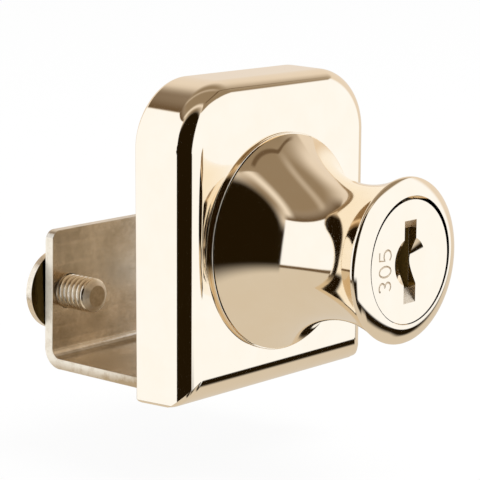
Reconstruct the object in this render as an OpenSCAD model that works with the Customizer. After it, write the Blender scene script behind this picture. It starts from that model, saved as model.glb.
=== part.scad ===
// Clamp-on lock for a glass cabinet door.
// A hollow cast housing carries a flared pull knob, the knob holds a wafer-tumbler plug,
// and the plug's crank drives a bolt down out of the bottom edge. A bent steel bracket closes
// the housing's back, passes under the glass edge and clamps the glass with two screws.
// Frame: X to the right seen from the front, Y towards the back, Z up. The origin is where the
// knob's axis meets the plane that bears on the glass. Millimetres.

/* [Housing] */
// Width of the housing
body_w = 32; // [31:0.5:40]
// Height of the housing
body_h = 36; // [35:0.5:46]
// Depth of the housing from its front face to the glass
body_depth = 7.8; // [7.7:0.1:9]
// Height of the knob's axis above the bottom edge
axis_up = 17.1; // [16.8:0.1:20]
// Radius of the two top corners
top_corner_r = 7.5; // [5:0.5:8]
// Radius of the two bottom corners
bottom_corner_r = 1.1; // [0.5:0.1:2]
// Rounding of the front edge
front_round = 2.5; // [1:0.1:3]
// Thickness of the front wall
front_wall = 1.8; // [1.7:0.1:1.9]
// Thickness of the rim round the bracket's front leg
rim_wall = 1.1; // [0.8:0.1:1.5]
// Width of the ledge behind the rim that the leg sits on
leg_ledge = 1.2; // [0.8:0.1:1.6]
// Radius of the bosses for the bracket's screws
boss_r = 2.6; // [2.2:0.1:2.6]
// Thickness of the ribs that guide the bolt
rib_t = 1.1; // [0.8:0.1:1.4]

/* [Knob] */
// Radius of the knob's base
knob_base_r = 12.4; // [12:0.1:14]
// Height of the straight rim at the base
knob_base_h = 0.45; // [0.3:0.05:1]
// Radius of the narrowest place
waist_r = 7.65; // [7.4:0.05:8.2]
// Distance of the narrowest place from the housing
waist_h = 10.7; // [10:0.1:12]
// Radius of the front rim
knob_rim_r = 9.25; // [9:0.05:10.5]
// Length of the knob from the housing to the edge of its mouth
knob_len = 18.05; // [17.5:0.05:23]
// Radius of the crown that rolls from the mouth to the rim
crown_r = 3.5; // [3:0.1:5]
// Rounding of the rim's outer edge
rim_round = 0.35; // [0.2:0.05:0.5]

/* [Lock cylinder] */
// Radius of the plug's head
plug_head_r = 6.86; // [6.6:0.02:7]
// Thickness of the plug's head
plug_head_t = 2.5; // [2:0.1:3]
// Chamfer round the plug's face
plug_chamfer = 0.45; // [0.2:0.05:0.6]
// Depth of the plug's face inside the knob's mouth
plug_recess = 0.1; // [0.05:0.05:0.6]
// Radius of the plug's body
plug_r = 5.5; // [5.3:0.05:5.6]
// Radius of the plug's tail
tail_r = 3.4; // [3.2:0.05:3.6]
// Distance across the flats of the tail's tenon
tenon_flats = 4.8; // [4.2:0.1:5.4]
// Width of the keyway
keyway_w = 2.1; // [1.6:0.1:2.4]
// Height of the keyway
keyway_h = 6.6; // [6:0.1:7]
// Height of the keyway's middle above the axis
keyway_up = 0.3; // [0:0.1:0.5]
// Height over both ramps that lead the key's shoulder into the keyway
shoulder_h = 9.1; // [8.4:0.1:9.6]
// Depth of the ramps where they meet the keyway
shoulder_d = 0.8; // [0.2:0.1:1]
// Radius of the countersink round the keyway
dimple_r = 2.7; // [2:0.1:3.2]
// Depth of the countersink's point
dimple_d = 1.45; // [0.6:0.05:1.6]
// Length of solid plug behind the keyway's end
keyway_floor = 4; // [3.5:0.1:4.5]
// Length of the tail's tenon
tenon_h = 0.55; // [0.4:0.05:0.6]

/* [Wafers] */
// Thickness of a wafer
wafer_t = 0.9; // [0.7:0.05:1.1]
// Width of a wafer
wafer_w = 5; // [4.6:0.1:5.2]
// Distance from one wafer to the next
wafer_pitch = 2.1; // [2:0.05:2.2]
// Travel of a wafer into the knob's groove
wafer_travel = 0.8; // [0.5:0.05:0.9]
// Distance of the first wafer from the back of the plug's head
wafer_start = 1.45; // [1.2:0.05:1.8]
// Height of the key's window in a wafer
window_h = 5.2; // [4.6:0.1:5.6]
// Distance of the underside of a wafer's arm below the axis
arm_drop = 2.2; // [1.8:0.1:2.3]
// Height of a wafer's arm
arm_t = 0.9; // [0.6:0.1:1.1]
// Length of a wafer's spring
spring_len = 3.5; // [2.5:0.1:3.8]
// Outer radius of a wafer's spring
spring_r = 0.7; // [0.5:0.05:0.75]
// Wire thickness of a wafer's spring
spring_wire = 0.25; // [0.15:0.05:0.3]

/* [Bolt and crank] */
// Travel of the bolt for a quarter turn of the key
bolt_throw = 7; // [5:0.5:7.5]
// Width of the bolt's tongue
bolt_w = 12; // [8:0.5:14]
// Width of the bolt's yoke
yoke_w = 16.6; // [16:0.1:17]
// Height of the bolt's yoke
yoke_h = 9; // [7:0.5:9.5]
// Thickness of the bolt
bolt_t = 2.7; // [2:0.1:2.7]
// Chamfer on the bolt's end
bolt_chamfer = 0.4; // [0.2:0.1:0.8]
// Radius of the crank pin
pin_r = 1.4; // [1:0.1:1.5]
// Thickness of the crank
crank_t = 1.6; // [1.5:0.05:1.6]
// Radius of the crank's hub
hub_r = 4.6; // [4.2:0.1:4.7]
// Width of the crank's arm
arm_w = 4.4; // [3.6:0.1:4.6]
// Radius of the two pegs that stop the crank
peg_r = 0.8; // [0.6:0.1:0.9]

/* [Bracket] */
// Thickness of the bracket's sheet
sheet_t = 1.2; // [1:0.05:1.2]
// Inside radius of the bends
bend_r = 1.1; // [0.4:0.1:1.2]
// Space between the housing and the bracket's back wall
glass_gap = 14.7; // [12:0.1:20]
// Height of the bracket's back wall above the web's underside
back_wall_h = 16.2; // [13:0.1:20]
// Radius of the back wall's top corners
back_corner_r = 1.2; // [0.8:0.1:4]

/* [Screws] */
// Thread radius of the clamp screws
clamp_r = 2; // [1.5:0.1:2]
// Length of the clamp screws under the head
clamp_len = 6; // [5:0.5:10]
// Head radius of the clamp screws
clamp_head_r = 4.7; // [3.4:0.1:4.8]
// Head height of the clamp screws
clamp_head_h = 2.5; // [2:0.1:3]
// Height of the straight edge of that head
clamp_head_edge = 0.9; // [0.3:0.1:1]
// Chamfer on the clamp screws' tips
clamp_tip = 0.5; // [0.3:0.05:0.7]
// Distance of the clamp screws from the bracket's sides
clamp_inset = 2.7; // [2.6:0.1:5]
// Height of the clamp screws above the web's underside
clamp_up = 8.8; // [7:0.1:11]
// Thread radius of the flat-headed screws
flat_r = 1.25; // [1:0.05:1.25]
// Head radius of the flat-headed screws
flat_head_r = 2.2; // [1.9:0.05:2.2]
// Span of the cross recess in a clamp screw
clamp_cross = 4; // [3:0.1:4.4]
// Depth of that recess
clamp_cross_d = 1.5; // [1:0.1:1.7]
// Span of the cross recess in a flat-headed screw
flat_cross = 2.4; // [1.8:0.1:2.6]
// Depth of that recess
flat_cross_d = 0.8; // [0.5:0.05:0.85]
// Length of the screws that hold the bracket
bracket_screw_len = 4.8; // [4:0.1:4.9]
// Length of the screws that hold the knob
knob_screw_len = 3.8; // [3.5:0.1:3.9]
// Length of the screw that holds the crank
crank_screw_len = 6; // [4:0.5:6]
// Distance of the knob's screws from its axis
knob_screw_at = 8.8; // [8.8:0.05:9]
// Distance of the bracket's screws from the housing's sides
bracket_screw_in = 4.8; // [4.7:0.1:4.9]
// Distance of the upper bracket screws from the top edge
bracket_screw_top = 5.7; // [5.4:0.1:7]
// Distance of the lower bracket screws from the bottom edge
bracket_screw_bottom = 6.1; // [6:0.1:6.5]

/* [Clearances] */
// Radial clearance of the turning plug
turn_gap = 0.05; // [0.02:0.01:0.08]
// Clearance of a sliding face
slide_gap = 0.1; // [0.05:0.01:0.15]
// Clearance between the crank and what it turns past
crank_gap = 0.2; // [0.15:0.01:0.25]
// Clearance of the crank pin in the bolt's slot
pin_gap = 0.25; // [0.22:0.01:0.4]
// Clearance of the bracket's leg inside the rim
leg_gap = 0.1; // [0.05:0.01:0.2]
// Clearance of a wafer in its slot
slot_gap = 0.05; // [0.03:0.01:0.08]
// Clearance of a screw in its thread
thread_gap = 0.03; // [0.02:0.01:0.05]

/* [Hidden] */
$fn = 96;

// Colours
plated = [0.86, 0.74, 0.55];
satin = [0.66, 0.55, 0.40];
steel = [0.70, 0.70, 0.70];
brass = [0.78, 0.62, 0.30];

// A little extra for cuts that have to pass a face
past = 1;

// Housing planes
side_x = body_w / 2;
bottom_z = -axis_up;
top_z = body_h - axis_up;
front_y = -body_depth;
wall_y = front_y + front_wall;
ledge_y = -sheet_t;

// Bracket planes
bracket_w = body_w - 2 * (rim_wall + leg_gap);
web_under_z = bottom_z + rim_wall + leg_gap;
bend_z = web_under_z + sheet_t + bend_r;
leg_top_z = top_z - rim_wall - leg_gap;
leg_corner_r = top_corner_r - rim_wall - leg_gap;
back_top_z = web_under_z + back_wall_h;

// Crank and bolt, a quarter turn centred on the horizontal
crank_r = bolt_throw / sqrt(2);
crank_y = wall_y + crank_gap;
bolt_back_y = ledge_y - slide_gap;
bolt_front_y = bolt_back_y - bolt_t;
bolt_end_z = bottom_z + slide_gap;
pin_rest = bolt_throw / 2;
peg_at = hub_r + peg_r + crank_gap;
peg_angle = 45 + asin((arm_w / 2 + peg_r + turn_gap) / peg_at);
rib_z = [bottom_z + rim_wall + leg_ledge, pin_rest + yoke_h / 2];

// Plug, measured as heights in front of the housing's face, and its face as a plane
face_h = knob_len - plug_recess;
face_y = front_y - face_h;
head_h = face_h - plug_head_t;
keyway_z = [keyway_up - keyway_h / 2, keyway_up + keyway_h / 2];
mouth_r = plug_head_r + turn_gap;
bore_r = plug_r + turn_gap;
// How far each wafer's window sits from the middle of the keyway
window_offsets = [0.4, -0.3, 0.5, -0.1, 0.2];
last_wafer = len(window_offsets) - 1;
first_wafer_h = head_h - wafer_start;
last_wafer_h = first_wafer_h - last_wafer * wafer_pitch;
groove_r = plug_r + wafer_travel + slide_gap;
arm_z = [-arm_drop, arm_t - arm_drop];
spring_top_z = arm_z[1] + spring_len;
spring_x = wafer_w / 2 + spring_r + slot_gap;
arm_x = spring_x + spring_r;

// Screw places as [x, z]
knob_screw_spots = [[0, knob_screw_at], [0, -knob_screw_at]];
bracket_screw_spots = [
    for (side = [-1, 1], z = [bottom_z + bracket_screw_bottom, top_z - bracket_screw_top])
        [side * (side_x - bracket_screw_in), z]
];
clamp_x = bracket_w / 2 - clamp_inset;
clamp_z = web_under_z + clamp_up;
thread_r = flat_r + thread_gap;
// Width of a cross recess's wings as a share of its span
wing_share = 0.28;

// Knob profile arcs, as radii and centres in [radius, height]
function arc_radius(run, rise) = (run * run + rise * rise) / (2 * rise);
rear_arc_r = arc_radius(waist_h - knob_base_h, knob_base_r - waist_r);
crown_centre = [mouth_r, knob_len - crown_r];
rim_drop_h = crown_centre[1] + sqrt(pow(crown_r, 2) - pow(knob_rim_r - mouth_r, 2));
front_arc_r = arc_radius(rim_drop_h - waist_h, knob_rim_r - waist_r);
front_centre = [waist_r + front_arc_r, waist_h];

// The small circle that rounds the rim touches the crown from inside and the flare from outside
function between(a, ra, b, rb) =
    let (d = norm(b - a), u = (b - a) / d, along = (ra * ra - rb * rb + d * d) / (2 * d))
    a + along * u + sqrt(ra * ra - along * along) * [-u[1], u[0]];
rim_centre = between(crown_centre, crown_r - rim_round, front_centre, front_arc_r + rim_round);
rim_on_crown = crown_centre + (rim_centre - crown_centre) * crown_r / (crown_r - rim_round);
rim_on_flare = front_centre + (rim_centre - front_centre) * front_arc_r / (front_arc_r + rim_round);

// Helpers

// Extrudes an [x, z] outline forwards from the plane y
module plate(y, depth) {
    translate([0, y, 0])
        rotate([90, 0, 0])
            linear_extrude(depth)
                children();
}

// Turns a [radius, height] profile about the knob's axis, with height growing forwards from y
module turned(y) {
    translate([0, y, 0])
        rotate([90, 0, 0])
            rotate_extrude()
                children();
}

// A round bar along Y at [x, z], from y_back forwards
module rod(spot, y_back, depth, r) {
    translate([spot[0], y_back, spot[1]])
        rotate([90, 0, 0])
            cylinder(h = depth, r = r);
}

// An upright rectangle in [x, z] with its two top corners rounded
module arched(w, z0, z1, r) {
    translate([-w / 2, z0])
        square([w, z1 - z0 - r]);
    translate([-w / 2 + r, z0])
        square([w - 2 * r, z1 - z0]);
    for (side = [-1, 1])
        translate([side * (w / 2 - r), z1 - r])
            circle(r);
}

// The housing's section square to its edge: a bar of width w with a rolled front corner
module edge_section(w) {
    square([w - front_round, body_depth]);
    square([w, body_depth - front_round]);
    intersection() {
        square([w, body_depth]);
        translate([w - front_round, body_depth - front_round])
            circle(front_round);
    }
}

// The quarter of a rolled edge that turns a top corner of radius r at [x, z]
module edge_corner(x, z, r) {
    translate([x, 0, z])
        rotate([90, 0, 0])
            rotate_extrude(angle = 90)
                edge_section(r);
}

// A straight rolled edge along X from the middle to x, reaching r above or below z
module edge_band(x, z, r, up) {
    translate([0, 0, z])
        rotate([90, 0, 90])
            linear_extrude(x)
                mirror([0, up < 0 ? 1 : 0])
                    rotate(90)
                        edge_section(r);
}

// A flat-headed screw along Y: head flush at y, its tip pointing forwards
module flat_screw(spot, y, len) {
    cone_h = flat_head_r - flat_r;
    difference() {
        translate([spot[0], y, spot[1]])
            rotate([90, 0, 0]) {
                cylinder(h = cone_h, r1 = flat_head_r, r2 = flat_r);
                cylinder(h = len, r = flat_r);
            }
        cross_recess(spot, y, flat_cross, flat_cross_d);
    }
}

// The cross-shaped recess for the driver, sunk forwards from the plane y
module cross_recess(spot, y, span, depth) {
    wing = span * wing_share;
    for (size = [[span, wing], [wing, span]])
        translate([spot[0] - size[0] / 2, y - depth, spot[1] - size[1] / 2])
            cube([size[0], depth + past, size[1]]);
}

// The hole that such a screw's head sinks into
module flat_screw_hole(spot, y, depth, r) {
    sink_r = flat_head_r + thread_gap;
    rod(spot, y + past, depth + past, r);
    translate([spot[0], y, spot[1]])
        rotate([90, 0, 0])
            cylinder(h = sink_r - r, r1 = sink_r, r2 = r);
}

// Housing

// Both halves of what is drawn for the right one
module both_sides() {
    for (side = [0, 1])
        mirror([side, 0, 0])
            children();
}

module housing_block() {
    shoulder_z = top_z - top_corner_r;
    lower_h = shoulder_z - bottom_z;
    both_sides() {
        edge_corner(side_x - top_corner_r, shoulder_z, top_corner_r);
        edge_band(side_x - top_corner_r, shoulder_z, top_corner_r, 1);
    }
    // Below the top corners the rolled flanks run down into the rolled bottom edge
    intersection() {
        both_sides()
            translate([0, 0, bottom_z])
                linear_extrude(lower_h)
                    mirror([0, 1])
                        edge_section(side_x);
        both_sides()
            edge_band(side_x, shoulder_z, lower_h, -1);
        plate(0, body_depth)
            mirror([0, 1])
                arched(body_w, -shoulder_z, -bottom_z, bottom_corner_r);
    }
}

module housing() color(plated)
    difference() {
        union() {
            difference() {
                housing_block();
                // Rebate for the bracket's leg, then the chamber in front of it
                plate(past, sheet_t + past)
                    arched(body_w - 2 * rim_wall, bottom_z + rim_wall, top_z - rim_wall,
                        top_corner_r - rim_wall);
                plate(0, -wall_y)
                    arched(body_w - 2 * (rim_wall + leg_ledge), bottom_z + rim_wall + leg_ledge,
                        top_z - rim_wall - leg_ledge, top_corner_r - rim_wall - leg_ledge);
            }
            // Bosses for the bracket's screws
            for (spot = bracket_screw_spots)
                rod(spot, ledge_y, ledge_y - wall_y, boss_r);
            // Ribs that guide the bolt's yoke
            for (side = [-1, 1])
                translate([side * (yoke_w / 2 + slide_gap + rib_t / 2) - rib_t / 2, wall_y, rib_z[0]])
                    cube([rib_t, ledge_y - slide_gap - wall_y, rib_z[1] - rib_z[0]]);
            // Pegs that stop the crank at both ends of the quarter turn
            for (end = [-1, 1])
                rod(peg_at * [cos(end * peg_angle), sin(end * peg_angle)],
                    crank_y + crank_t, crank_y + crank_t - wall_y, peg_r);
        }
        // Notch in the bottom wall for the bolt's tongue, open to the back
        translate([-bolt_w / 2 - slide_gap, bolt_front_y - slide_gap, bottom_z - past])
            cube([bolt_w + 2 * slide_gap, past - bolt_front_y + slide_gap, rim_wall + leg_ledge + 2 * past]);
        // Hole for the plug's tail and sunk holes for the knob's screws
        rod([0, 0], wall_y + past, front_wall + 2 * past, tail_r + turn_gap);
        for (spot = knob_screw_spots)
            flat_screw_hole(spot, wall_y, front_wall + past, flat_r + slide_gap);
        // Threads for the bracket's screws
        for (spot = bracket_screw_spots)
            rod(spot, ledge_y + past, bracket_screw_len - sheet_t + slide_gap + past, thread_r);
    }

// Knob

module knob_profile() {
    union() {
        difference() {
            intersection() {
                square([knob_base_r, knob_len]);
                union() {
                    translate(crown_centre)
                        circle(crown_r);
                    square([mouth_r, knob_len]);
                    square([knob_base_r, rim_drop_h]);
                }
            }
            // Rear flare and front flare, which share the waist
            intersection() {
                translate([waist_r + rear_arc_r, waist_h])
                    circle(rear_arc_r);
                translate([0, knob_base_h])
                    square([knob_base_r + past, waist_h - knob_base_h]);
            }
            intersection() {
                translate(front_centre)
                    circle(front_arc_r);
                translate([0, waist_h])
                    square([knob_base_r + past, knob_len - waist_h]);
            }
            translate([knob_rim_r, waist_h])
                square([knob_base_r, knob_len]);
            polygon([rim_on_crown, rim_on_crown + [past, past], rim_on_flare + [past, 0], rim_on_flare]);
        }
        translate(rim_centre)
            circle(rim_round);
    }
}

module knob() color(plated)
    difference() {
        turned(front_y)
            knob_profile();
        rod([0, 0], front_y + past, knob_len + past + past, bore_r);
        rod([0, 0], front_y - head_h + turn_gap, plug_head_t + plug_recess + past, mouth_r);
        // Grooves that catch the wafers, below the axis and a quarter turn on
        for (turn = [0, 90])
            rotate([0, turn, 0])
                wafer_groove();
        for (spot = knob_screw_spots)
            rod(spot, front_y + past, knob_screw_len - front_wall + slide_gap + past, thread_r);
    }

module wafer_groove() {
    intersection() {
        translate([-wafer_w / 2 - slide_gap, front_y - first_wafer_h - wafer_t, -groove_r])
            cube([wafer_w + 2 * slide_gap, first_wafer_h - last_wafer_h + 2 * wafer_t, groove_r]);
        rod([0, 0], front_y, knob_len, groove_r);
    }
}

module knob_screws() color(steel)
    for (spot = knob_screw_spots)
        flat_screw(spot, wall_y, knob_screw_len);

// Lock cylinder

module plug() color(plated)
    difference() {
        union() {
            turned(front_y)
                polygon([[0, turn_gap], [plug_r, turn_gap], [plug_r, head_h + turn_gap],
                    [plug_head_r, head_h + turn_gap], [plug_head_r, face_h - plug_chamfer],
                    [plug_head_r - plug_chamfer, face_h], [0, face_h]]);
            rod([0, 0], crank_y, crank_y - front_y + past, tail_r);
            intersection() {
                rod([0, 0], crank_y + tenon_h, tenon_h + past, tail_r);
                translate([-tail_r, crank_y - past, -tenon_flats / 2])
                    cube([2 * tail_r, tenon_h + 2 * past, tenon_flats]);
            }
        }
        // Keyway, the ramps at its ends and the countersink round it
        translate([-keyway_w / 2, face_y - past, keyway_z[0]])
            cube([keyway_w, face_h - keyway_floor + past, keyway_h]);
        rotate([90, 0, 90])
            linear_extrude(keyway_w, center = true)
                polygon([[face_y - past, shoulder_h / 2], [face_y, shoulder_h / 2],
                    [face_y + shoulder_d, keyway_z[1]], [face_y + shoulder_d, keyway_z[0]],
                    [face_y, -shoulder_h / 2], [face_y - past, -shoulder_h / 2]]);
        translate([0, face_y - past, 0])
            rotate([-90, 0, 0])
                cylinder(h = dimple_d + past, r1 = dimple_r * (1 + past / dimple_d), r2 = 0);
        for (i = [0:last_wafer])
            wafer_space(i);
        // Thread for the crank's screw
        rod([0, 0], crank_y + tenon_h + past,
            crank_screw_len - crank_t + tenon_h + slide_gap + past, thread_r);
    }

function wafer_y(i) = front_y - first_wafer_h + i * wafer_pitch;

// The slot that a wafer slides in, with the pocket for its arm and its spring
module wafer_space(i) {
    slot_t = wafer_t + 2 * slot_gap;
    translate([0, wafer_y(i), 0]) {
        translate([-wafer_w / 2 - slot_gap, -slot_t / 2, -plug_r - past])
            cube([wafer_w + 2 * slot_gap, slot_t, 2 * (plug_r + past)]);
        translate([0, -slot_t / 2, arm_z[0] - wafer_travel - slot_gap])
            cube([arm_x + slot_gap, slot_t, spring_top_z - arm_z[0] + wafer_travel + slot_gap]);
        translate([spring_x, 0, arm_z[1] - wafer_travel])
            cylinder(h = spring_top_z - arm_z[1] + wafer_travel, r = spring_r + slot_gap);
    }
}

module wafer(i) color(brass)
    translate([0, wafer_y(i), 0])
        difference() {
            union() {
                intersection() {
                    translate([-wafer_w / 2, -wafer_t / 2, -plug_r])
                        cube([wafer_w, wafer_t, 2 * plug_r]);
                    rod([0, 0], wafer_t, 2 * wafer_t, plug_r);
                }
                translate([0, -wafer_t / 2, arm_z[0]])
                    cube([arm_x, wafer_t, arm_z[1] - arm_z[0]]);
            }
            translate([-keyway_w / 2 - slot_gap, -wafer_t, keyway_up + window_offsets[i] - window_h / 2])
                cube([keyway_w + 2 * slot_gap, 2 * wafer_t, window_h]);
        }

// The spring is drawn as the tube that its coils fill
module wafer_spring(i) color(steel)
    translate([spring_x, wafer_y(i), arm_z[1]])
        difference() {
            cylinder(h = spring_top_z - arm_z[1], r = spring_r);
            translate([0, 0, -past])
                cylinder(h = spring_top_z - arm_z[1] + 2 * past, r = spring_r - spring_wire);
        }

// Crank and bolt

module drive_crank() color(steel)
    difference() {
        rotate([0, -45, 0]) {
            rod([0, 0], crank_y + crank_t, crank_t, hub_r);
            translate([0, crank_y, -arm_w / 2])
                cube([crank_r, crank_t, arm_w]);
            rod([crank_r, 0], crank_y + crank_t, crank_t, arm_w / 2);
            rod([crank_r, 0], bolt_back_y - slide_gap, bolt_back_y - slide_gap - crank_y, pin_r);
        }
        // Pocket for the tail's flatted tenon, and the sunk hole for the screw
        intersection() {
            rod([0, 0], crank_y + tenon_h + slot_gap, tenon_h + past, tail_r + turn_gap);
            translate([-tail_r - past, crank_y - past, -tenon_flats / 2 - turn_gap])
                cube([2 * (tail_r + past), tenon_h + 2 * past, tenon_flats + 2 * turn_gap]);
        }
        flat_screw_hole([0, 0], crank_y + crank_t, crank_t + past, thread_r);
    }

module crank_screw() color(steel)
    flat_screw([0, 0], crank_y + crank_t, crank_screw_len);

module deadbolt() color(steel)
    difference() {
        union() {
            plate(bolt_back_y, bolt_t)
                polygon([[-bolt_w / 2 + bolt_chamfer, bolt_end_z], [bolt_w / 2 - bolt_chamfer, bolt_end_z],
                    [bolt_w / 2, bolt_end_z + bolt_chamfer], [bolt_w / 2, pin_rest],
                    [-bolt_w / 2, pin_rest], [-bolt_w / 2, bolt_end_z + bolt_chamfer]]);
            plate(bolt_back_y, bolt_t)
                translate([-yoke_w / 2, pin_rest - yoke_h / 2])
                    square([yoke_w, yoke_h]);
        }
        // Cross slot for the crank pin, which swings out and back as it passes the horizontal
        slot_r = pin_r + pin_gap;
        plate(bolt_back_y + past, bolt_t + 2 * past) {
            translate([pin_rest, pin_rest - slot_r])
                square([crank_r - pin_rest, 2 * slot_r]);
            for (x = [pin_rest, crank_r])
                translate([x, pin_rest])
                    circle(slot_r);
        }
    }

// Bracket

module quarter_bend() {
    difference() {
        circle(bend_r + sheet_t);
        circle(bend_r);
        translate([-bend_r - sheet_t - past, 0])
            square(2 * (bend_r + sheet_t + past));
        translate([0, -bend_r - sheet_t - past])
            square(2 * (bend_r + sheet_t + past));
    }
}

// The web under the glass with both bends, as a [y, z] section
module web_section() {
    translate([bend_r, web_under_z])
        square([glass_gap - 2 * bend_r, sheet_t]);
    translate([bend_r, bend_z])
        quarter_bend();
    translate([glass_gap - bend_r, bend_z])
        mirror([1, 0])
            quarter_bend();
}

module bracket() color(satin)
    difference() {
        union() {
            plate(0, sheet_t)
                arched(bracket_w, bend_z, leg_top_z, leg_corner_r);
            plate(glass_gap + sheet_t, sheet_t)
                arched(bracket_w, bend_z, back_top_z, back_corner_r);
            rotate([90, 0, 90])
                linear_extrude(bracket_w, center = true)
                    web_section();
        }
        for (spot = bracket_screw_spots)
            flat_screw_hole(spot, 0, sheet_t + past, flat_r + thread_gap);
        for (side = [-1, 1])
            rod([side * clamp_x, clamp_z], glass_gap + sheet_t + past,
                sheet_t + 2 * past, clamp_r + thread_gap);
    }

module bracket_screws() color(steel)
    for (spot = bracket_screw_spots)
        flat_screw(spot, 0, bracket_screw_len);

// A round-headed clamp screw whose head lies on the back wall
module clamp_screw(side) color(satin) {
    dome_r = arc_radius(clamp_head_r, clamp_head_h - clamp_head_edge);
    head_y = glass_gap + sheet_t;
    difference() {
        translate([side * clamp_x, head_y, clamp_z]) {
            rotate([-90, 0, 0])
                rotate_extrude()
                    intersection() {
                        square([clamp_head_r, clamp_head_h]);
                        translate([0, clamp_head_h - dome_r])
                            circle(dome_r);
                    }
            rotate([90, 0, 0])
                rotate_extrude()
                    polygon([[0, -clamp_head_edge], [clamp_r, -clamp_head_edge],
                        [clamp_r, clamp_len - clamp_tip], [clamp_r - clamp_tip, clamp_len],
                        [0, clamp_len]]);
        }
        cross_recess([side * clamp_x, clamp_z], head_y + clamp_head_h, clamp_cross, clamp_cross_d);
    }
}

housing();
knob();
knob_screws();
plug();
for (i = [0:last_wafer]) {
    wafer(i);
    wafer_spring(i);
}
drive_crank();
crank_screw();
deadbolt();
bracket();
bracket_screws();
clamp_screw(-1);  // clamp_screw_left
clamp_screw(1);  // clamp_screw_right
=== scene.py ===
"""Looks of the clamp-on glass door lock: polished gold, a gold-washed bracket, threaded clamp screws."""

import math

import bmesh
import bpy
from mathutils import Matrix, Vector


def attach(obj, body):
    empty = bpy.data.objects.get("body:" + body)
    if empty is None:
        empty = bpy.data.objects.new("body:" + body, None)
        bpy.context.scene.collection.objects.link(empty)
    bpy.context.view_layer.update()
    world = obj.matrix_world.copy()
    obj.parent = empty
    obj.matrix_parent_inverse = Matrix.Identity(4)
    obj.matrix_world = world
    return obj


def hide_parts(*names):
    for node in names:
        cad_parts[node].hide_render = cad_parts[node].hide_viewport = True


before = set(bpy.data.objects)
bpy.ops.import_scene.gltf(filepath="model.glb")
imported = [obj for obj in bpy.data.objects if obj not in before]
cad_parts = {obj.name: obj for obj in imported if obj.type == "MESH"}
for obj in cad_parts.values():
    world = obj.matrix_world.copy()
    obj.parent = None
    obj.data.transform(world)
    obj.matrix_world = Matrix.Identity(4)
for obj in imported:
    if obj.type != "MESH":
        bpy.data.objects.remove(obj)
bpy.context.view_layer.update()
scene = bpy.context.scene
scene.view_settings.view_transform = "Standard"

MM = 0.001
TURN = 2 * math.pi
DEGREES = 180 / math.pi

# Sizes repeated from the part's source, in millimetres
BODY_W, BODY_TOP, BODY_BOTTOM, BODY_DEPTH = 32.0, 18.9, -17.1, 7.8
BODY_H, BODY_MIDDLE = BODY_TOP - BODY_BOTTOM, (BODY_TOP + BODY_BOTTOM) / 2
TOP_CORNER, FRONT_ROUND = 7.5, 2.5
RIM_WALL, LEG_LEDGE, SHEET, FRONT_WALL = 1.1, 1.2, 1.2, 1.8
BOLT_NOTCH_W, BOLT_NOTCH_DEPTH = 12.2, 4.1
KNOB_BASE_R, KNOB_BASE_H, WAIST_R, WAIST_H = 12.4, 0.45, 7.65, 10.7
KNOB_RIM_R, KNOB_LEN, CROWN_R, RIM_ROUND = 9.25, 18.05, 3.5, 0.35
MOUTH_R, HEAD_H, BORE_R, PLUG_FACE_Y = 6.91, 15.45, 5.55, -25.75
KEYWAY_W, KEYWAY_H, KEYWAY_Z = 2.1, 6.6, 0.3
GROOVE_W, GROOVE_R, GROOVE_FRONT_Y, GROOVE_LEN = 5.2, 6.4, -22.7, 10.2
WEB_TOP, CUT_EDGE_X = -14.7, 14.8
CLAMP_X, CLAMP_Z, CLAMP_R, CLAMP_LEN, CLAMP_TIP, CLAMP_SEAT_Y = 12.1, -7.1, 2.0, 6.0, 0.5, 15.9
CLAMP_TIP_Y = CLAMP_SEAT_Y - CLAMP_LEN
WAFERS = 5

# Sizes of details that only show, in millimetres
DRAFT, LOW_ROLL, LOW_CORNER, BACK_EASE, FLANK_EASE = 0.2, 3.4, 0.35, 0.9, 0.15
NOTCH_OVER, NOTCH_LIFT, NOTCH_CUT_H = 1.0, 0.5, 3.8
FOOT_CUT, BASE_EASE, SEAM_W, SEAM_DEPTH = 0.1, 0.07, 0.1, 0.25
MOUTH_PLAY, MOUTH_DROP, MOUTH_OFF_X, MOUTH_OFF_Z = 0.13, 0.015, 0.03, 0.16
PLUG_EDGE_R, FACE_BAND, SHADE_DEPTH = 6.78, 0.5, 0.95
DIGIT_H, DIGIT_W, DIGIT_STEP, STROKE_R = 2.0, 1.15, 1.7, 0.13
DIGITS_X, DIGITS_Z, STRIKE_DEPTH = -3.4, -2.75, 0.08
STRIP_EASE, SLOT_MIDDLE_Y, LEAN_START = 0.2, 8.0, 1.0
THREAD_PITCH, THREAD_DEPTH, THREAD_SPARE = 0.7, 0.40, 1.0
TIP_FLAT_R, SHANK_IN_HEAD, HAIR = 1.25, 0.3, 0.001

# Slopes: the back wall's lean and how fast the thread runs out, each per millimetre
WALL_LEAN, THREAD_RUNOUT = 0.025, 0.6

# Angles in degrees; edges bent more than a SHARP angle stay sharp in the shading
CROWN_END, THREAD_FLANK, FLAT_WITHIN, EASED_FROM = 83, 30, 0.2, 40
SHARP_HOUSING, SHARP_KNOB, SHARP_PLUG, SHARP_STRIP, SHARP_SCREW = 40, 32, 26, 24, 28

# How finely round shapes are divided
CORNER_STEPS, ROLL_STEPS, EASE_STEPS = 32, 18, 3
KNOB_STEPS, BASE_STEPS, FLANK_STEPS, FLARE_STEPS, RIM_STEPS, CROWN_STEPS = 176, 4, 44, 30, 10, 20
BOWL_STEPS, ZERO_STEPS, FIVE_STEPS, STROKE_STEPS = 14, 28, 16, 2
THREAD_STEPS, THREAD_FLANK_CUTS = 40, 3

# Distances that count as none, in metres
TOUCH, WELD, ON_PLANE = 1e-7, 2e-6, 1e-8

# Studio: places and sizes in metres, power in watts, the floor's share of glow and the room's light
TENT_R, FLOOR_R, FLOOR_Z = 2.0, 3.0, -0.0265
LAMP_AT, LAMP_SIZE, LAMP_POWER = (0.15, -0.35, 0.8), 0.5, 5.0
FLOOR_GLOW, ROOM_LIGHT = 0.93, 0.75

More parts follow.
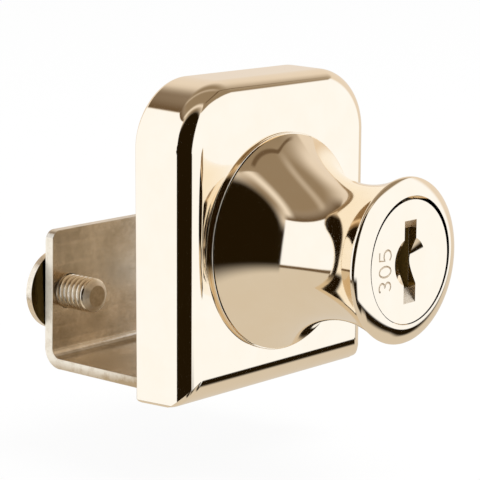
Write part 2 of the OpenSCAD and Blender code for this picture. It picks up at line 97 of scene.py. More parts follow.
# View fitted to the photo: lens and distance in millimetres, clipping in metres
SENSOR_W, FOCAL, CLIP_NEAR, CLIP_FAR = 36.0, 153.1, 0.01, 20.0
VIEW_RIGHT, VIEW_UP = (0.66123, -0.75017, 0.00436), (0.13637, 0.12592, 0.98262)
VIEW_AIM, VIEW_DISTANCE = (-3.287, -4.239, 0.092), 231.36
OVER_CAMERA = (-0.736, -0.618, 0.276)


# Shader wiring

class Wire:
    """A socket in a node tree; sums and products on it add Math nodes."""

    def __init__(self, bench, socket):
        self.bench, self.socket = bench, socket

    def __add__(self, other):
        return self.bench.math("ADD", self, other)

    def __radd__(self, other):
        return self.bench.math("ADD", other, self)

    def __sub__(self, other):
        return self.bench.math("SUBTRACT", self, other)

    def __rsub__(self, other):
        return self.bench.math("SUBTRACT", other, self)

    def __mul__(self, other):
        return self.bench.math("MULTIPLY", self, other)

    def __rmul__(self, other):
        return self.bench.math("MULTIPLY", other, self)


class Bench:
    """Builds one node tree, a material's or the world's."""

    def __init__(self, tree):
        self.tree = tree
        tree.nodes.clear()

    def node(self, kind, settings=None, sockets=None, out=0):
        """Adds a node, sets it, wires or fills its inputs, and gives one of its outputs."""
        made = self.tree.nodes.new("ShaderNode" + kind)
        for key, value in (settings or {}).items():
            setattr(made, key, value)
        for key, value in (sockets or {}).items():
            if isinstance(value, Wire):
                self.tree.links.new(value.socket, made.inputs[key])
            else:
                made.inputs[key].default_value = value
        return None if out is None else Wire(self, made.outputs[out])

    def math(self, operation, first, second=0.0):
        return self.node("Math", {"operation": operation}, {0: first, 1: second})

    def clamp(self, value, low=0.0, high=1.0):
        return self.node("Clamp", None, {"Value": value, "Min": low, "Max": high})

    def rise(self, value, low, high):
        """0 below low, 1 above high, smooth between."""
        return self.node("MapRange", {"interpolation_type": "SMOOTHSTEP"},
                         {"Value": value, "From Min": low, "From Max": high})

    def between(self, value, low, high, soft):
        """1 from low to high, 0 outside, with soft ends."""
        return self.rise(value, low - soft, low + soft) * (1 - self.rise(value, high - soft, high + soft))

    def blend(self, share, first, second):
        return self.node("Mix", {"data_type": "RGBA"}, {0: share, 6: first, 7: second}, 2)

    def place(self, scale=(1, 1, 1), turn=(0, 0, 0)):
        """Object coordinates in millimetres, then turned and stretched."""
        spot = self.node("TexCoord", out="Object")
        spot = self.node("Mapping", None, {"Vector": spot, "Scale": (1 / MM, 1 / MM, 1 / MM)})
        return self.node("Mapping", None, {"Vector": spot, "Rotation": turn, "Scale": scale})

    def axes(self, where):
        """The three coordinates of a place."""
        return [self.node("SeparateXYZ", None, {0: where}, axis) for axis in "XYZ"]

    def noise(self, where, scale, detail=2.0, rough=0.5):
        return self.node("TexNoise", None, {
            "Vector": where, "Scale": scale, "Detail": detail, "Roughness": rough})

    def seen(self):
        """1 for rays that look straight, by a mirror or through glass; 0 for rays that light."""
        straight, mirrored, through = (self.node("LightPath", out=f"Is {ray} Ray")
                                       for ray in ("Camera", "Glossy", "Transmission"))
        return self.clamp(straight + mirrored + through)

    def metal(self, colour, rough, relief, strength, depth, metallic=1.0):
        """Ends the tree in a metal with a fine relief, its depth in millimetres."""
        bump = self.node("Bump", None, {
            "Height": relief, "Strength": strength, "Distance": depth * MM}, "Normal")
        self.surface(self.node("BsdfPrincipled", None, {
            "Base Color": colour, "Metallic": metallic, "Roughness": rough, "Normal": bump}, "BSDF"))

    def surface(self, shader, kind="OutputMaterial"):
        self.node(kind, None, {"Surface": shader}, None)


def new_material(name):
    made = bpy.data.materials.new(name)
    made.use_nodes = True
    return made, Bench(made.node_tree)


def rgb(*channels):
    return (*channels, 1.0)


# Finishes

def polish(b, where):
    """Colour, roughness and waviness of the bright plating: polish haze over a slightly wavy casting."""
    pale, paler = rgb(0.95, 0.825, 0.64), rgb(0.96, 0.845, 0.67)
    haze = b.noise(where, scale=0.35, detail=3.0)
    swirl = b.noise(b.place(scale=(0.5, 0.5, 6.0), turn=(0.3, 0.2, 0.7)), scale=2.2)
    wave = b.noise(where, scale=0.11, detail=1.0)
    colour = b.blend(b.clamp((haze - 0.35) * 2.2), pale, paler)
    return colour, 0.035 + 0.03 * haze + 0.012 * swirl, wave


def plated_gold():
    """Bright pale-gold plating over a cast body, nearly a mirror."""
    made, b = new_material("plated_gold")
    colour, rough, wave = polish(b, b.place())
    b.metal(colour, rough, wave, strength=0.35, depth=0.04)
    return made


def plug_gold():
    """The same plating on the plug: dull in the struck digits, dull with a grainy painted shade on the key's
    ramps, and a dark, barely metallic painted shade deep in the keyway.
    """
    digit, ramp_shade, dark = rgb(0.76, 0.62, 0.44), rgb(0.55, 0.43, 0.28), rgb(0.13, 0.075, 0.012)
    made, b = new_material("plug_gold")
    where = b.place()
    colour, rough, wave = polish(b, where)
    x, y, z = b.axes(where)
    depth = y - PLUG_FACE_Y
    off, along = b.math("ABSOLUTE", x), b.math("ABSOLUTE", z - KEYWAY_Z)
    margin, soft, skin, deepest, thin = 0.15, 0.02, 0.015, 0.3, 0.01
    digits_end = DIGITS_Z + 2 * DIGIT_STEP + DIGIT_W
    struck = (b.between(x, DIGITS_X - DIGIT_H - margin, DIGITS_X + margin, soft)
              * b.between(z, DIGITS_Z - margin, digits_end + margin, soft)
              * b.between(depth, skin, deepest, thin))
    slot = 1 - b.rise(off, KEYWAY_W / 2 + 0.05, KEYWAY_W / 2 + 0.1)
    slot_end = b.rise(along, KEYWAY_H / 2 - 0.05, KEYWAY_H / 2 + 0.05)
    # Painted shade: grainy and darker on the key's ramps, dark brown and barely metallic deeper in the
    # keyway
    ramp = slot * slot_end * b.between(depth, thin, SHADE_DEPTH, thin)
    grain = b.noise(where, scale=4.0, detail=4.0, rough=0.7)
    keyway_shade = slot * b.rise(depth, SHADE_DEPTH, SHADE_DEPTH + 0.1)
    colour = b.blend(struck, colour, digit)
    colour = b.blend(ramp * b.clamp(grain * 1.6 - 0.3), colour, ramp_shade)
    colour = b.blend(keyway_shade, colour, dark)
    rough = rough + 0.4 * struck + 0.38 * ramp + 0.45 * keyway_shade
    b.metal(colour, rough, wave, strength=0.35, depth=0.04, metallic=1 - 0.9 * keyway_shade)
    return made


def satin_gold():
    """Rolled strip with a thin gold wash: uneven plating, a lighter band at the bend, faint crossing
    scratches and dull pale cut edges."""
    dark, light = rgb(0.56, 0.485, 0.375), rgb(0.92, 0.82, 0.68)
    cream, tan = rgb(1.0, 0.92, 0.77), rgb(0.50, 0.36, 0.20)
    made, b = new_material("satin_gold")
    where = b.place()
    x, y, z = b.axes(where)
    blotch = b.noise(where, scale=0.22, detail=3.0, rough=0.6)
    patch = b.noise(where, scale=1.1, detail=5.0, rough=0.7)
    roll = b.noise(b.place(scale=(0.12, 5.0, 5.0), turn=(0.0, 0.06, 0.08)), scale=1.0, detail=3.0, rough=0.6)
    scratch = b.noise(b.place(scale=(0.09, 1.6, 1.6), turn=(0.0, 0.35, 0.6)), scale=1.0, rough=0.4)
    mark = b.rise(scratch, 0.55, 0.75)
    bend_low, bend_high, soft = WEB_TOP + 0.3, WEB_TOP + 1.9, 0.1
    bend = b.between(z, bend_low, bend_high, soft)
    floor = 1 - b.rise(z, WEB_TOP, bend_low)
    uneven = (blotch - 0.5) * 1.7 + (patch - 0.5) * 1.0 + (roll - 0.5) * 0.35
    tone = b.clamp(0.36 + uneven + bend * 0.3 + mark * 0.22 - 0.2 * floor)
    # Along the web the cut edge turns tan towards its lower side and the housing: painted shade, over a
    # little random wear
    sheared = b.rise(b.math("ABSOLUTE", x), CUT_EDGE_X - 0.1, CUT_EDGE_X - 0.03)
    web = 1 - b.rise(z, WEB_TOP, WEB_TOP + 0.8)
    edge_shade = (1 - b.rise(z, WEB_TOP - SHEET, WEB_TOP)) * 0.75 + (1 - b.rise(y, 0, 9)) * 0.45
    wear_and_shade = b.clamp(b.rise(patch, 0.45, 0.7) * 0.3 + web * edge_shade)
    colour = b.blend(sheared, b.blend(tone, dark, light), b.blend(wear_and_shade, cream, tan))
    rough = b.clamp(0.15 + 0.14 * patch + 0.2 * sheared)
    relief = roll * 0.3 + mark * 0.2 + patch * 0.6 + blotch
    b.metal(colour, rough, relief, strength=0.4, depth=0.03, metallic=1 - 0.75 * sheared)
    return made


def screw_gold():
    """The same wash on a rolled thread: dull, with painted shade in the roots and under the head, and a
    painted highlight on the crests and round the tip.
    """
    root, high_spot, shadow = rgb(0.50, 0.39, 0.25), rgb(0.95, 0.83, 0.65), rgb(0.07, 0.045, 0.012)
    made, b = new_material("screw_gold")
    where = b.place()
    x, y, z = b.axes(where)
    across, up = b.math("ABSOLUTE", x) - CLAMP_X, z - CLAMP_Z
    radius = b.math("SQRT", across * across + up * up)
    patch = b.noise(where, scale=2.4, detail=4.0, rough=0.65)
    crest = b.rise(radius, CLAMP_R - THREAD_DEPTH, CLAMP_R)
    tip = 1 - b.rise(y, CLAMP_TIP_Y + 0.3, CLAMP_TIP_Y + 0.5)
    ring = b.rise(radius, TIP_FLAT_R - 0.04, TIP_FLAT_R + 0.02) * tip
    # Painted shadow under the head, where it seats
    seat = 1 - b.rise(y, CLAMP_SEAT_Y + 0.02, CLAMP_SEAT_Y + 0.06)
    under = b.rise(radius, CLAMP_R + 0.05, CLAMP_R + 0.15) * seat
    # Painted shade in the thread's roots, painted highlight on its crests and on the tip's ring, over random
    # patches
    tone = b.clamp(0.25 + crest * 0.6 + (patch - 0.5) * 0.9 + ring * 0.6)
    colour = b.blend(under, b.blend(tone, root, high_spot), shadow)
    rough = b.clamp(0.3 - 0.12 * crest + 0.1 * patch + 0.16 * ring)
    b.metal(colour, rough, patch, strength=0.4, depth=0.03)
    return made


def zinc_steel():
    """Bright zinc on pressed steel: cool grey, lightly spangled, fine drawing lines."""
    dark, light = rgb(0.50, 0.50, 0.49), rgb(0.72, 0.72, 0.71)
    made, b = new_material("zinc_steel")
    spangle = b.node("TexVoronoi", {"feature": "F1"}, {"Vector": b.place(), "Scale": 0.9}, "Distance")
    lines = b.noise(b.place(scale=(6.0, 6.0, 0.25)), scale=1.0, detail=3.0, rough=0.6)
    colour = b.blend(b.clamp(spangle * 0.7 + lines * 0.5), dark, light)
    b.metal(colour, b.clamp(0.24 + 0.2 * lines), lines, strength=0.35, depth=0.02)
    return made


def wafer_brass():
    """Blanked brass: warm yellow with shear lines along its edge."""
    dark, light = rgb(0.62, 0.44, 0.17), rgb(0.83, 0.64, 0.30)
    made, b = new_material("wafer_brass")
    lines = b.noise(b.place(scale=(0.4, 8.0, 0.4)), scale=1.0, detail=3.0, rough=0.6)
    b.metal(b.blend(lines, dark, light), b.clamp(0.22 + 0.2 * lines), lines, strength=0.3, depth=0.02)
    return made


def spring_steel():
    """Drawn spring wire, painted as close turns round the coil: light turns with painted shade in the dark
    grooves between them.
    """
    dark, light = rgb(0.16, 0.16, 0.17), rgb(0.62, 0.62, 0.63)
    made, b = new_material("spring_steel")
    # Light bands are the turns, dark bands the painted shade between them
    turns = b.node("TexWave", {"wave_type": "BANDS", "bands_direction": "Z"},
                   {"Vector": b.place(), "Scale": 0.63, "Distortion": 0.0})
    b.metal(b.blend(turns, dark, light), b.clamp(0.5 - 0.2 * turns), turns, strength=0.8, depth=0.12)
    return made


GOLD, PLUG_GOLD, SATIN, SCREW = plated_gold(), plug_gold(), satin_gold(), screw_gold()
ZINC, BRASS, SPRING = zinc_steel(), wafer_brass(), spring_steel()


# Mesh helpers

def linked(name, data):
    """A new object in the scene."""
    made = bpy.data.objects.new(name, data)
    scene.collection.objects.link(made)
    return made


def mesh_of(name, work):
    """Turns a worked mesh into mesh data."""
    mesh = bpy.data.meshes.new(name)
    work.to_mesh(mesh)
    work.free()
    return mesh


def finished(name, work, material, body, node):
    """Turns a worked mesh into a piece that rides on a body and stands for the node it replaces."""
    piece = linked(name, mesh_of(name, work))
    piece.data.materials.append(material)
    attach(piece, body)
    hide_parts(node)
    return piece


def smooth(work, sharp_deg):
    """Shades every face smooth and keeps the edges sharper than an angle."""
    limit = math.radians(sharp_deg)
    for face in work.faces:
        face.smooth = True
    for edge in work.edges:
        edge.smooth = edge.is_manifold and edge.calc_face_angle(0.0) < limit


def at_y(verts, y):
    """Whether all these vertices lie on a plane across Y."""
    return all(abs(v.co.y - y * MM) < TOUCH for v in verts)


def turned(points, base_y, steps):
    """Spins a [radius, height] outline about the lock's axis; heights grow forwards from base_y."""
    work = bmesh.new()
    base, forward = Vector((0, base_y, 0)) * MM, Vector((0, -1, 0))
    ring = [work.verts.new(base + Vector((r, 0, 0)) * MM + forward * h * MM) for r, h in points]
    edges = [work.edges.new(pair) for pair in zip(ring, ring[1:] + ring[:1])]
    bmesh.ops.spin(work, geom=ring + edges, cent=base, axis=forward, angle=TURN, steps=steps, use_merge=True)
    bmesh.ops.remove_doubles(work, verts=work.verts, dist=TOUCH)
    bmesh.ops.recalc_face_normals(work, faces=work.faces)
    return work


def arc(centre, radius, start_deg, end_deg, count):
    """Points on a circle, both ends included."""
    angles = [math.radians(start_deg + (end_deg - start_deg) * i / count) for i in range(count + 1)]
    return [(centre[0] + radius * math.cos(a), centre[1] + radius * math.sin(a)) for a in angles]


def angle_of(centre, point):
    return math.degrees(math.atan2(point[1] - centre[1], point[0] - centre[0]))


def merged(node):
    """A joined-up copy of a CAD node's mesh, ready to be worked on."""
    work = bmesh.new()
    work.from_mesh(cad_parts[node].data)
    bmesh.ops.remove_doubles(work, verts=work.verts, dist=WELD)
    return work


def boxes(*each):
    """A mesh of plain boxes, each given by its centre and sizes."""
    work = bmesh.new()
    for x, y, z, width, depth, height in each:
        bmesh.ops.create_cube(work, size=MM, matrix=Matrix.Translation(Vector((x, y, z)) * MM)
                              @ Matrix.Diagonal((width, depth, height, 1)))
    return mesh_of("boxes", work)


def settled(thing):
    """The mesh of an object as its modifiers or curve settings leave it."""
    return bpy.data.meshes.new_from_object(thing.evaluated_get(bpy.context.evaluated_depsgraph_get()))


def cut_away(piece, tool, sharp_deg):
    """Takes the tool's mesh away from a piece for good and shades what is left."""
    knife = linked("knife", tool)
    step = piece.modifiers.new("cut", "BOOLEAN")
    step.operation, step.solver, step.use_self, step.object = "DIFFERENCE", "EXACT", True, knife
    piece.data = settled(piece)
    piece.modifiers.clear()
    bpy.data.objects.remove(knife)
    work = bmesh.new()
    work.from_mesh(piece.data)
    smooth(work, sharp_deg)
    work.to_mesh(piece.data)
    work.free()


def ease_edges(piece, width, steps, limit):
    """Rounds the edges that carry a bevel weight, or all that are bent more than EASED_FROM."""
    ease = piece.modifiers.new("eased_edges", "BEVEL")
    ease.width, ease.segments, ease.limit_method = width * MM, steps, limit
    ease.angle_limit, ease.harden_normals = math.radians(EASED_FROM), True


def trim(work, y, keep):
    """Cuts a mesh across Y; what lies behind the plane, seen along keep, goes."""
    bmesh.ops.bisect_plane(work, geom=work.verts[:] + work.edges[:] + work.faces[:], dist=ON_PLANE,
                           plane_co=(0, y * MM, 0), plane_no=(0, keep, 0), clear_inner=True)


def cap(work):
    """Closes a trimmed mesh."""
    bmesh.ops.holes_fill(work, edges=[e for e in work.edges if e.is_boundary], sides=0)


# Housing: a block with rolled front edges, sunk at the back for the bracket's leg

def runs_back(edge):
    """Whether an edge runs from the housing's front to its back."""
    first, last = (v.co.y for v in edge.verts)
    return abs(abs(first - last) - BODY_DEPTH * MM) < TOUCH


def housing_block():
    work = bmesh.new()
    work.from_mesh(boxes((0, -BODY_DEPTH / 2, BODY_MIDDLE, BODY_W, BODY_DEPTH, BODY_H)))
    corners = [e for e in work.edges if runs_back(e) and e.verts[0].co.z > BODY_MIDDLE * MM]
    bmesh.ops.bevel(work, geom=corners, offset=TOP_CORNER * MM, offset_type="OFFSET", affect="EDGES",
                    segments=CORNER_STEPS, profile=0.5, material=-1)
    back = [f for f in work.faces if f.normal.y > 0.99]
    bmesh.ops.inset_region(work, faces=back, thickness=RIM_WALL * MM, use_even_offset=True)
    for depth, ledge in ((SHEET, LEG_LEDGE), (BODY_DEPTH - FRONT_WALL - SHEET, 0.0)):
        back = bmesh.ops.extrude_discrete_faces(work, faces=back)["faces"]
        bmesh.ops.translate(work, verts=list({v for f in back for v in f.verts}), vec=(0, -depth * MM, 0))
        if ledge:
            bmesh.ops.inset_region(work, faces=back, thickness=ledge * MM, use_even_offset=True)
    return work


def weigh_rolls(work):
    """Gives each edge that is rounded its share of the largest roll, as a bevel weight."""
    weights = work.edges.layers.float.new("bevel_weight_edge")
    middle = Vector((0, 0, BODY_MIDDLE * MM))
    for edge in work.edges:
        flanks = [f for f in edge.link_faces if abs(f.normal.y) < 0.5]
        outer = any(f.normal.dot(edge.verts[0].co - middle) > 0 for f in flanks)
        low = max(v.co.z for v in edge.verts) < BODY_BOTTOM * MM + TOUCH
        if at_y(edge.verts, -BODY_DEPTH) and flanks:
            edge[weights] = 1.0 if low else FRONT_ROUND / LOW_ROLL
        elif runs_back(edge) and low:
            edge[weights] = LOW_CORNER / LOW_ROLL
        elif at_y(edge.verts, 0) and outer:
            # The back edge is eased along the top and bottom, fading out down the flanks
            edge[weights] = (FLANK_EASE + (BACK_EASE - FLANK_EASE) * abs(flanks[0].normal.z)) / LOW_ROLL


def make_housing():
    work = housing_block()
    weigh_rolls(work)
    # The casting's draft narrows the front a little
    share = Vector((1 - 2 * DRAFT / BODY_W, 1.0, 1 - 2 * DRAFT / BODY_H))
    bmesh.ops.scale(work, vec=share, space=Matrix.Translation((0, 0, -BODY_MIDDLE * MM)),
                    verts=[v for v in work.verts if at_y([v], -BODY_DEPTH)])
    piece = finished("housing_cast", work, GOLD, "lock_body", "housing")
    notch = boxes((0, (NOTCH_OVER - BOLT_NOTCH_DEPTH) / 2, BODY_BOTTOM + NOTCH_LIFT,
                   BOLT_NOTCH_W, BOLT_NOTCH_DEPTH + NOTCH_OVER, NOTCH_CUT_H))
    cut_away(piece, notch, SHARP_HOUSING)
    ease_edges(piece, LOW_ROLL, ROLL_STEPS, "WEIGHT")


# Knob: one turned outline, base to waist to rim, over the crown into the mouth

def sweep(run, rise):
    """Radius of an arc that starts level and climbs by rise over a run."""
    return (run * run + rise * rise) / (2 * rise)


def rim_centre(crown, flare, flare_r):
    """Centre of the rim's small round, which touches the crown from inside and the flare from outside."""
    to_crown, to_flare = CROWN_R - RIM_ROUND, flare_r + RIM_ROUND
    gap = math.dist(crown, flare)
    ux, uy = (flare[0] - crown[0]) / gap, (flare[1] - crown[1]) / gap
    along = (to_crown * to_crown - to_flare * to_flare + gap * gap) / (2 * gap)
    off = math.sqrt(to_crown * to_crown - along * along)
    return crown[0] + along * ux - off * uy, crown[1] + along * uy + off * ux


def knob_outline():
    rear_r = sweep(WAIST_H - KNOB_BASE_H, KNOB_BASE_R - WAIST_R)
    rear = (WAIST_R + rear_r, WAIST_H)
    crown = (MOUTH_R, KNOB_LEN - CROWN_R)
    rim_h = crown[1] + math.sqrt(CROWN_R ** 2 - (KNOB_RIM_R - MOUTH_R) ** 2)
    front_r = sweep(rim_h - WAIST_H, KNOB_RIM_R - WAIST_R)
    front = (WAIST_R + front_r, WAIST_H)
    rim = rim_centre(crown, front, front_r)
    flare_end, crown_start = angle_of(front, rim) - 180, angle_of(crown, rim)
    lip, seam_r = KNOB_BASE_R - BASE_EASE, KNOB_BASE_R - BASE_EASE - SEAM_W
    flank_start = math.degrees(math.acos((rear[0] - seam_r) / rear_r))
    mouth_r = MOUTH_R + MOUTH_PLAY
    return [(BORE_R, 0.0), (KNOB_BASE_R - FOOT_CUT, 0.0), (KNOB_BASE_R, FOOT_CUT),
            *arc((lip, KNOB_BASE_H - BASE_EASE), BASE_EASE, 0, 90, BASE_STEPS),
            (lip, KNOB_BASE_H - SEAM_DEPTH), (seam_r, KNOB_BASE_H - SEAM_DEPTH),
            *arc(rear, -rear_r, flank_start, 0, FLANK_STEPS),
            *arc(front, -front_r, 0, flare_end, FLARE_STEPS)[1:],
            *arc(rim, RIM_ROUND, flare_end, crown_start, RIM_STEPS)[1:],
            *arc(crown, CROWN_R, crown_start, CROWN_END, CROWN_STEPS)[1:],
            (mouth_r, KNOB_LEN - MOUTH_DROP), (mouth_r, HEAD_H), (BORE_R, HEAD_H)]


def make_knob():
    work = turned(knob_outline(), -BODY_DEPTH, KNOB_STEPS)
    # The plug sits low in its mouth: the edge of the mouth lies a little off the axis
    edge = [v for v in work.verts if at_y([v], -(BODY_DEPTH + KNOB_LEN - MOUTH_DROP))]
    bmesh.ops.translate(work, verts=edge, vec=Vector((MOUTH_OFF_X, 0, MOUTH_OFF_Z)) * MM)
    piece = finished("knob_turned", work, GOLD, "lock_body", "knob")
    # Grooves that catch the wafers, below the axis and a quarter turn on
    middle, half = GROOVE_FRONT_Y + GROOVE_LEN / 2, GROOVE_R / 2
    grooves = boxes((0, middle, -half, GROOVE_W, GROOVE_LEN, GROOVE_R),
                    (-half, middle, 0, GROOVE_R, GROOVE_LEN, GROOVE_W))
    cut_away(piece, grooves, SHARP_KNOB)


# Plug: the CAD shape with three digits struck into its face

def digit_strokes():
    """Strokes of the digits 3, 0 and 5, each digit in a box of DIGIT_W by DIGIT_H, set side by side."""
    w, h = DIGIT_W, DIGIT_H
    bowl, belly = h / 4, h * 0.31
    upper = arc((w / 2, h - bowl), bowl, 150, -97, BOWL_STEPS)
    lower = arc((w / 2, bowl), bowl, 86, -150, BOWL_STEPS)
    circle = arc((w / 2, h / 2), w / 2, 0, 360, ZERO_STEPS)[:-1]
    zero = [(x, h / 2 + (y - h / 2) * h / w) for x, y in circle]
    five = [(w * 0.92, h), (w * 0.15, h), (w * 0.06, h * 0.54),
            *arc((w / 2 - 0.02, belly), belly, 125, -145, FIVE_STEPS)]
    strokes = ((0, upper, False), (0, lower, False), (1, zero, True), (2, five, False))
    return [([(x + place * DIGIT_STEP, y) for x, y in line], closed) for place, line, closed in strokes]


def digit_punch():
    """The strokes as round wires lying in the plug's face."""
    wire = bpy.data.curves.new("struck_digits", "CURVE")
    wire.dimensions, wire.use_fill_caps = "3D", True
    wire.bevel_depth, wire.bevel_resolution = STROKE_R * MM, STROKE_STEPS
    for line, closed in digit_strokes():
        spline = wire.splines.new("POLY")
        spline.use_cyclic_u = closed
        spline.points.add(len(line) - 1)
        for point, (along, up) in zip(spline.points, line):
            spot = Vector((DIGITS_X - up, PLUG_FACE_Y + STRIKE_DEPTH - STROKE_R, DIGITS_Z + along))
            point.co = (*(spot * MM), 1.0)
    holder = linked("struck_digits", wire)
    punch = settled(holder)
    bpy.data.objects.remove(holder)
    return punch


def make_plug():
    work = merged("plug")
    # The head's edge is drawn in, so that a dark gap shows round it
    for vert in work.verts:
        radius = math.hypot(vert.co.x, vert.co.z)
        if vert.co.y < (PLUG_FACE_Y + FACE_BAND) * MM and radius > BORE_R * MM:
            reach = PLUG_EDGE_R * MM / radius
            vert.co.x, vert.co.z = vert.co.x * reach, vert.co.z * reach
    piece = finished("plug_face", work, PLUG_GOLD, "key_plug", "plug")
    cut_away(piece, digit_punch(), SHARP_PLUG)


# Bracket: the CAD strip with eased cut edges, its back wall bent a touch past square

def make_bracket():
    work = merged("bracket")
    bmesh.ops.dissolve_limit(work, angle_limit=math.radians(FLAT_WITHIN), verts=work.verts, edges=work.edges)
    foot = (WEB_TOP + LEAN_START) * MM
    wall = [v for v in work.verts if v.co.y > SLOT_MIDDLE_Y * MM and v.co.z > foot]
    lean = Matrix.Identity(4)
    lean[1][2], lean[1][3] = -WALL_LEAN, WALL_LEAN * foot
    bmesh.ops.transform(work, matrix=lean, verts=wall)
    smooth(work, SHARP_STRIP)
    piece = finished("bracket_strip", work, SATIN, "lock_body", "bracket")
    ease_edges(piece, STRIP_EASE, EASE_STEPS, "ANGLE")


# Clamp screws: a true helical thread under the CAD head

def thread_section():
    """One pitch of the thread, as [radius, advance]."""
    core = CLAMP_R - THREAD_DEPTH
    flank = THREAD_DEPTH * math.tan(math.radians(THREAD_FLANK))
    flat = (THREAD_PITCH - 2 * flank) / 2
    return [(core, 0), (core, flat / 2), (CLAMP_R, flat / 2 + flank), (CLAMP_R, flat * 1.5 + flank),
            (core, flat * 1.5 + 2 * flank), (core, THREAD_PITCH)]


def shape_tip(work, centre):
    """Draws the shank in to the tip's cone and lets the thread run out behind it."""
    for vert in work.verts:
        off = Vector((vert.co.x - centre.x, 0, vert.co.z - centre.z))
        along = vert.co.y / MM - CLAMP_TIP_Y
        most = min(CLAMP_R, TIP_FLAT_R + along * (CLAMP_R - TIP_FLAT_R) / CLAMP_TIP)
        least = min(most, CLAMP_R - (along - CLAMP_TIP) * THREAD_RUNOUT)
        reach = min(max(off.length / MM, least), most)
        vert.co += off * (reach * MM / off.length - 1)


def threaded_shank(x):
    """One thread section wound from the tip into the head, trimmed at both ends and shaped at the tip."""
    work = bmesh.new()
    centre = Vector((x, 0, CLAMP_Z)) * MM
    start = CLAMP_TIP_Y - THREAD_PITCH
    ring = [work.verts.new(centre + Vector((r, start + y, 0)) * MM) for r, y in thread_section()]
    _, rising, _, falling, _ = [work.edges.new(pair) for pair in zip(ring, ring[1:])]
    bmesh.ops.subdivide_edges(work, edges=[rising, falling], cuts=THREAD_FLANK_CUTS)
    turns = math.ceil((CLAMP_LEN + THREAD_SPARE) / THREAD_PITCH) + 1
    bmesh.ops.spin(work, geom=work.verts[:] + work.edges[:], cent=centre, axis=(0, 1, 0), angle=TURN * turns,
                   dvec=(0, THREAD_PITCH * MM / THREAD_STEPS, 0), steps=THREAD_STEPS * turns)
    bmesh.ops.remove_doubles(work, verts=work.verts, dist=WELD)
    trim(work, CLAMP_TIP_Y, 1)
    trim(work, CLAMP_SEAT_Y + SHANK_IN_HEAD, -1)
    shape_tip(work, centre)
    cap(work)
    bmesh.ops.recalc_face_normals(work, faces=work.faces)
    return work


def make_clamp_screw(side, node, body):
    work = merged(node)
    trim(work, CLAMP_SEAT_Y + HAIR, 1)
    cap(work)
    wound = mesh_of("wound", threaded_shank(side * CLAMP_X))
    work.from_mesh(wound)
    bpy.data.meshes.remove(wound)
    smooth(work, SHARP_SCREW)
    finished(node + "_threaded", work, SCREW, body, node)


make_housing()
make_knob()
make_plug()
make_bracket()
make_clamp_screw(-1, "clamp_screw_left", "left_clamp")
make_clamp_screw(1, "clamp_screw_right", "right_clamp")

# Nodes shown as they are, in their own metal
plain = {node: ZINC for node in ("deadbolt", "bracket_screws", "knob_screws", "crank_screw", "drive_crank")}
for i in range(1, WAFERS + 1):
    plain[f"wafer_{i}"], plain[f"wafer_spring_{i}"] = BRASS, SPRING
for node, material in plain.items():
    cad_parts[node].data.materials.clear()
    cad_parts[node].data.materials.append(material)


# Studio: pale floor, white surroundings, and the tent of panels and flags that the metal mirrors

def staged(name, work, material):
    """A thing in the studio that is no piece of the lock."""
    made = linked(name, mesh_of(name, work))
    made.data.materials.append(material)
    return made


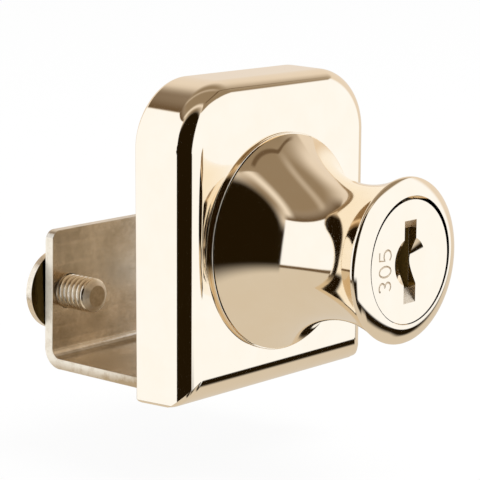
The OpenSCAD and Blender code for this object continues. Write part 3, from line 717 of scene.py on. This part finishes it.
def tent_colour(b):
    """What stands round the lock, by direction. All angles are in degrees: side is 0 ahead of the plate and
    grows to the right, high is up from level, and away is from a point a little above the camera."""
    white, cream, buff = rgb(1.06, 1.13, 1.27), rgb(0.93, 0.86, 0.79), rgb(0.62, 0.54, 0.46)
    ground, wall, umber = rgb(0.70, 0.64, 0.56), rgb(0.84, 0.76, 0.68), rgb(0.31, 0.24, 0.165)
    black, brown = rgb(0.014, 0.008, 0.002), rgb(0.15, 0.10, 0.057)

    aim = b.node("VectorMath", {"operation": "NORMALIZE"}, {0: b.node("TexCoord", out="Object")})
    x, y, z = b.axes(aim)
    side = b.math("ARCTAN2", x, y * -1.0) * DEGREES
    high = b.math("ARCSINE", z) * DEGREES
    facing = b.node("VectorMath", {"operation": "DOT_PRODUCT"}, {0: aim, 1: OVER_CAMERA}, "Value")
    away = b.math("ARCCOSINE", facing) * DEGREES

    # Room: pale walls, brown ceiling, darkest at the left and behind
    colour = b.blend(b.rise(high, -25, 5), ground, wall)
    ceiling = b.rise(high, 36, 62)
    far = 1 - b.rise(side, -100, -90) + b.rise(side, 150, 178)
    gloom = far * b.rise(high, 42, 44) * (1 - b.rise(high, 44, 62))
    # Two light strips on the ceiling
    near_strip = b.between(away, 48, 54, 4) * b.rise(high, 44, 52)
    far_strip = b.between(away, 87, 92, 5) * b.rise(high, 50, 58)
    # Right-hand panel with its dark lower hem and the shade and batten over its sloping top
    hem = high - (side - 5) * (side - 5) * 0.0055
    lean = side - high * 0.25
    top = high + b.clamp(side - 15, 0, 60) * 0.15 - 40
    inside = b.rise(lean, -19.5, -17)
    shade = b.rise(top, -1, 2) * (1 - b.rise(top, 12, 45)) * (1 - b.rise(side, 62, 105)) * inside
    batten = b.between(side, 5, 78, 4) * b.between(high + 22 * b.rise(side, 58, 86), 55, 58.5, 1)
    panel = inside * (1 - b.rise(side, 68, 80)) * b.rise(hem, -37, -35) * (1 - b.rise(top, -2, 3))
    fall = hem + 7.5 * b.rise(side, 46, 60) - 6.0 * b.between(side, -2, 11, 2.5)
    dark_hem = b.rise(fall, -49, -40) * (1 - b.rise(hem, -34.6, -31.4)) * b.between(side, -14, 68, 6)
    # Left-hand panel with a thin dark hem
    sag = high - (side + 110) * (side + 110) * 0.0025
    left = b.between(side, -166, -94.5, 1.2)
    left_panel = left * b.between(high, -30, 42.5, 0.7) * b.rise(sag, -20.5, -18)
    left_hem = left * b.between(sag, -23.5, -19.8, 1.0)
    # Black flag beside the camera, leaning at its right edge and open above, and a small one below it
    opening = b.rise(away, 37, 46) * b.rise(high, 22, 42)
    flag = b.rise(side, -96, -94) * (1 - b.rise(lean, -20, -17)) * b.rise(high, -33, -15.5) * (1 - opening)
    low_flag = b.between(side, -27, -10, 3) * b.between(high, -42, -16, 3)

    layers = ((ceiling, umber), (gloom, brown), (near_strip, cream), (far_strip, buff),
              (shade, umber), (batten, brown), (panel, white), (dark_hem, black),
              (left_panel, white), (left_hem, brown), (flag, black), (low_flag, black))
    for mask, paint in layers:
        colour = b.blend(mask, colour, paint)
    return colour


def make_tent():
    work = bmesh.new()
    bmesh.ops.create_uvsphere(work, u_segments=96, v_segments=48, radius=TENT_R)
    bmesh.ops.reverse_faces(work, faces=work.faces)
    made, b = new_material("tent_panels")
    made.cycles.emission_sampling = "NONE"
    b.surface(b.node("Emission", None, {"Color": tent_colour(b), "Strength": 1.0}))
    tent = staged("studio_tent", work, made)
    tent.visible_camera = tent.visible_diffuse = tent.visible_shadow = False


def make_floor():
    work = bmesh.new()
    bmesh.ops.create_circle(work, cap_ends=True, segments=64, radius=FLOOR_R,
                            matrix=Matrix.Translation((0, 0, FLOOR_Z)))
    made, b = new_material("pale_floor")
    matt = b.node("BsdfDiffuse", None, {"Color": rgb(0.9, 0.9, 0.9)})
    glow = b.node("Emission", None, {"Color": rgb(1, 1, 1), "Strength": 1.0})
    b.surface(b.node("MixShader", None, {0: b.seen() * FLOOR_GLOW, 1: matt, 2: glow}))
    staged("floor", work, made).visible_glossy = False


def make_world():
    world = bpy.data.worlds.new("white_room")
    scene.world = world
    world.use_nodes = True
    b = Bench(world.node_tree)
    strength = ROOM_LIGHT + (1 - ROOM_LIGHT) * b.seen()
    light = b.node("Background", None, {"Color": rgb(1, 1, 1), "Strength": strength})
    b.surface(light, "OutputWorld")


def make_lamp():
    lamp = bpy.data.lights.new("soft_lamp", "AREA")
    lamp.shape, lamp.size, lamp.size_y, lamp.energy = "RECTANGLE", LAMP_SIZE, LAMP_SIZE, LAMP_POWER
    holder = linked("soft_lamp", lamp)
    holder.location = LAMP_AT
    holder.rotation_euler = (-Vector(LAMP_AT)).to_track_quat("-Z", "Y").to_euler()
    holder.visible_camera = holder.visible_glossy = False


def make_camera():
    lens = bpy.data.cameras.new("photo_view")
    lens.sensor_width, lens.lens = SENSOR_W, FOCAL
    lens.clip_start, lens.clip_end = CLIP_NEAR, CLIP_FAR
    right, up = Vector(VIEW_RIGHT), Vector(VIEW_UP)
    back = right.cross(up).normalized()
    place = Matrix((right, up, back)).transposed().to_4x4()
    place.translation = Vector(VIEW_AIM) * MM + back * VIEW_DISTANCE * MM
    view = linked("photo_view", lens)
    view.matrix_world = place
    scene.camera = view


make_tent()
make_floor()
make_world()
make_lamp()
make_camera()
